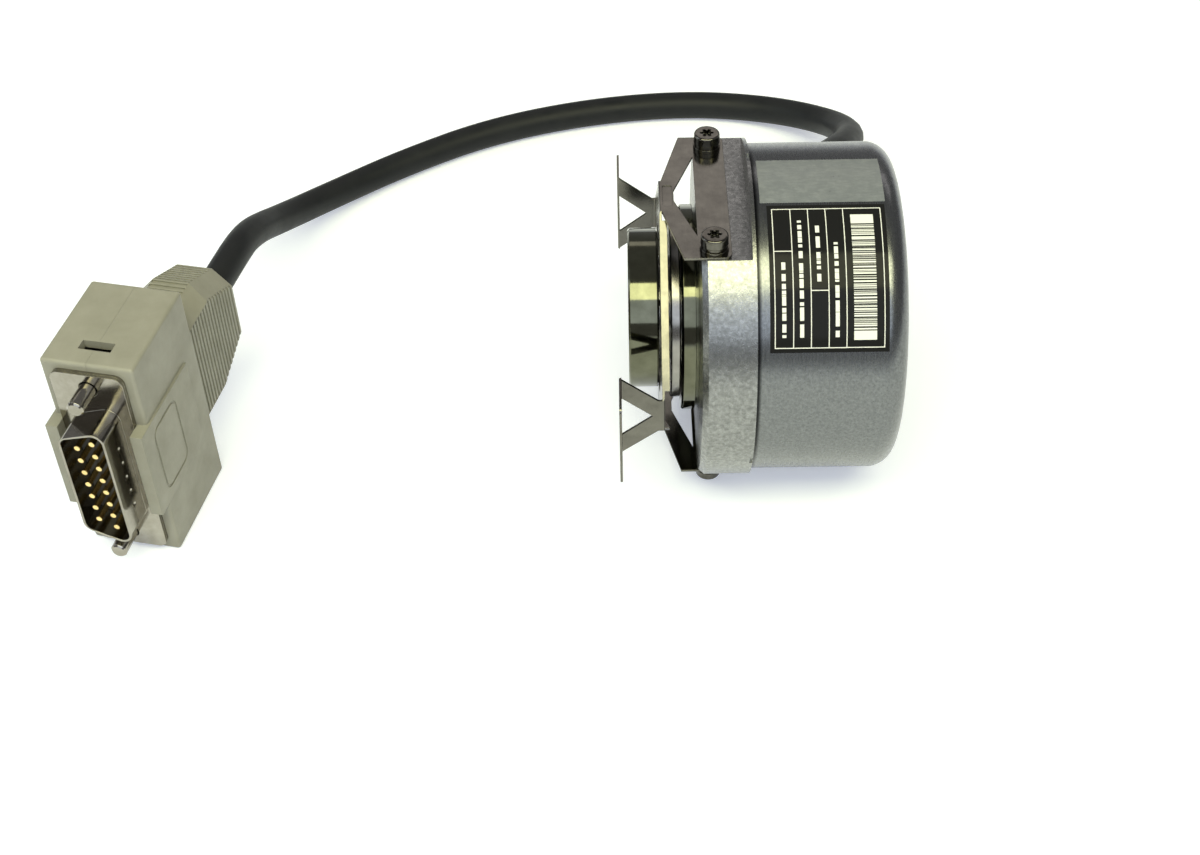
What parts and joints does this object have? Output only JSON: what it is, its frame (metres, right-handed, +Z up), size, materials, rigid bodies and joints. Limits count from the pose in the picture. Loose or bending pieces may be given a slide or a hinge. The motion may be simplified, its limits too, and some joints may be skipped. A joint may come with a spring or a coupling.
{
  "type": "incremental rotary encoder",
  "caption": "Hollow shaft incremental rotary encoder with clamping ring, sheet steel stator coupling, cable and sub-D plug.",
  "frame": {"origin": "on the shaft axis, in the mounting plane of the stator coupling's lugs", "axes": "+X along the shaft axis from the lugs to the cap, +Y to the side where the cable leaves, +Z up as it lies"},
  "size_m": [0.1449, 0.1387, 0.058],
  "materials": {
    "cast_aluminium": "cast and machined, bright grain",
    "satin_aluminium": "satin, finely brushed",
    "dark_steel": "turned and polished, dark",
    "bearing_steel": "ground",
    "spring_steel": "rolled, near mirror, brownish",
    "nickel_plate": "bright nickel",
    "dark_screw": "black oxide",
    "contact_gold": "thin gold",
    "seal_rubber": "matte",
    "black_rubber": "matte",
    "cable_jacket": "fine matte",
    "grey_plastic": "fine moulded grain, warm light grey",
    "dark_plastic": "moulded",
    "black_plastic": "moulded",
    "cage_plastic": "moulded",
    "board_green": "solder resist",
    "label_film": "printed film with plain rules",
    "sticker_film": "grey film",
    "optical_glass": "clear"
  },
  "bodies": {
    "housing": {"flange_housing": "cast_aluminium", "bearing_cover": "dark_steel", "shaft_seal": "seal_rubber", "front_bearing_outer_ring": "bearing_steel", "rear_bearing_outer_ring": "bearing_steel", "outer_ring_spacer": "dark_steel", "retaining_ring": "spring_steel", "stator_coupling": "spring_steel", "coupling_screws": "nickel_plate", "coupling_spring_washers": "nickel_plate", "coupling_washers": "nickel_plate", "rear_cap": "satin_aluminium", "cap_seal": "seal_rubber", "rating_label": "label_film", "dealer_sticker": "sticker_film", "light_holder": "black_plastic", "condenser_lens": "optical_glass", "light_source": "black_plastic", "scanning_reticle": "optical_glass", "detector_chip": "black_plastic", "detector_board": "board_green", "detector_header": "black_plastic", "board_posts": "nickel_plate", "main_board": "board_green", "board_screws": "nickel_plate", "board_chips": "black_plastic", "cable_header": "black_plastic", "cable_gland": "black_rubber", "shield_clamp": "nickel_plate", "signal_cable": "cable_jacket", "connector_hood_right": "grey_plastic", "connector_hood_left": "grey_plastic", "connector_front_shell": "nickel_plate", "connector_rear_shell": "nickel_plate", "connector_insulator": "dark_plastic", "connector_pins": "contact_gold", "connector_cable_clip": "nickel_plate"},
    "rotor": {"hollow_shaft": "bearing_steel", "clamping_ring": "dark_steel", "clamp_screw": "dark_screw", "front_bearing_inner_ring": "bearing_steel", "rear_bearing_inner_ring": "bearing_steel", "inner_ring_spacer": "dark_steel", "disc_hub": "satin_aluminium", "graduated_disc": "optical_glass"},
    "front_ball_set": {"front_bearing_balls": "bearing_steel", "front_bearing_cage": "cage_plastic"},
    "rear_ball_set": {"rear_bearing_balls": "bearing_steel", "rear_bearing_cage": "cage_plastic"},
    "upper_lock_screw": {"lock_screw_upper": "nickel_plate"},
    "lower_lock_screw": {"lock_screw_lower": "nickel_plate"}
  },
  "joints": [
    {"name": "shaft_spin", "type": "hinge", "parent": "housing", "child": "rotor", "pos_m": [0.018, 0, 0], "axis": [1, 0, 0], "continuous": true},
    {"name": "front_ball_spin", "type": "hinge", "parent": "housing", "child": "front_ball_set", "pos_m": [0.0177, 0, 0], "axis": [1, 0, 0], "continuous": true},
    {"name": "rear_ball_spin", "type": "hinge", "parent": "housing", "child": "rear_ball_set", "pos_m": [0.027, 0, 0], "axis": [1, 0, 0], "continuous": true},
    {"name": "upper_lock_spin", "type": "hinge", "parent": "housing", "child": "upper_lock_screw", "pos_m": [-0.08286, -0.02026, 0.00865], "axis": [-0.2079, -0.9781, 0], "continuous": true},
    {"name": "lower_lock_spin", "type": "hinge", "parent": "housing", "child": "lower_lock_screw", "pos_m": [-0.08286, -0.02026, -0.02465], "axis": [-0.2079, -0.9781, 0], "continuous": true}
  ],
  "couplings": [
    {"joint": "front_ball_spin", "follows": "shaft_spin", "ratio": 0.43269},
    {"joint": "rear_ball_spin", "follows": "shaft_spin", "ratio": 0.43269}
  ]
}
